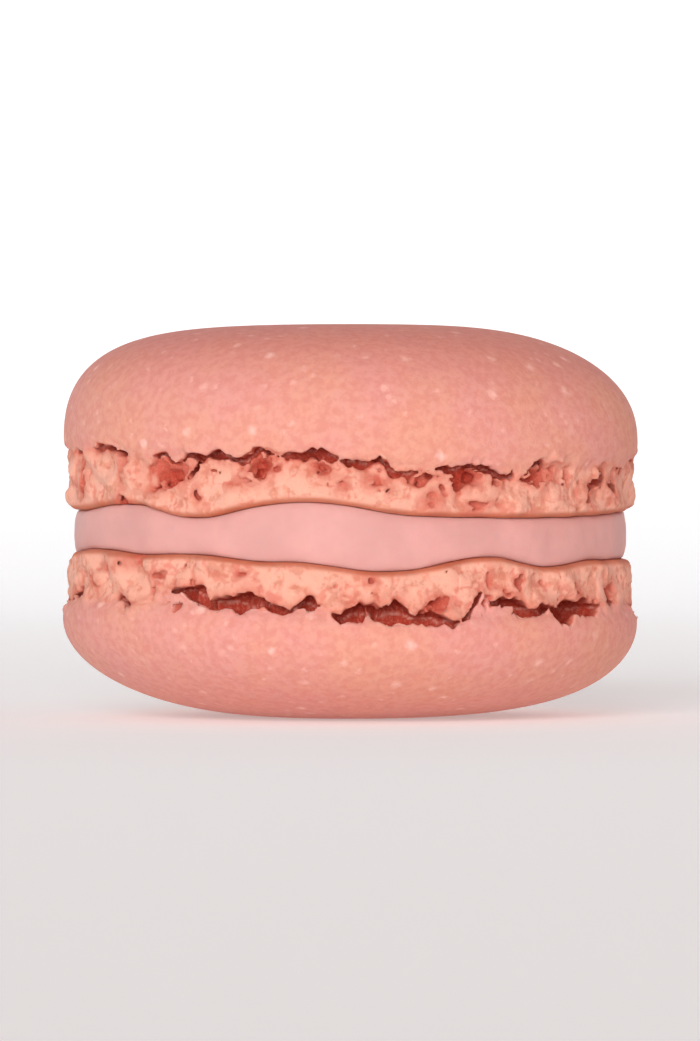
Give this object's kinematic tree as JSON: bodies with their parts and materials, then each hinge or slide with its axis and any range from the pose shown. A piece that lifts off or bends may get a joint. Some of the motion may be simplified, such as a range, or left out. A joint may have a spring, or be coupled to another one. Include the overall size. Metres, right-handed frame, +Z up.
{
  "type": "french macaron",
  "caption": "Round sandwich biscuit of almond meringue: domed shells with ragged feet, and a soft filling that bulges between them.",
  "frame": {"origin": "centre of the flat spot that the macaron rests on, under the lower dome", "axes": "+Z up through both domes, -Y to the front, +X to the right"},
  "size_m": [0.0401, 0.04, 0.0273],
  "materials": {
    "shell": "dry pink almond meringue, smooth and matt, with a tan crumb foot",
    "filling": "soft pink buttercream with a satin surface"
  },
  "bodies": {
    "root": {"lower_shell": "shell", "filling": "filling", "upper_shell": "shell"}
  },
  "joints": []
}
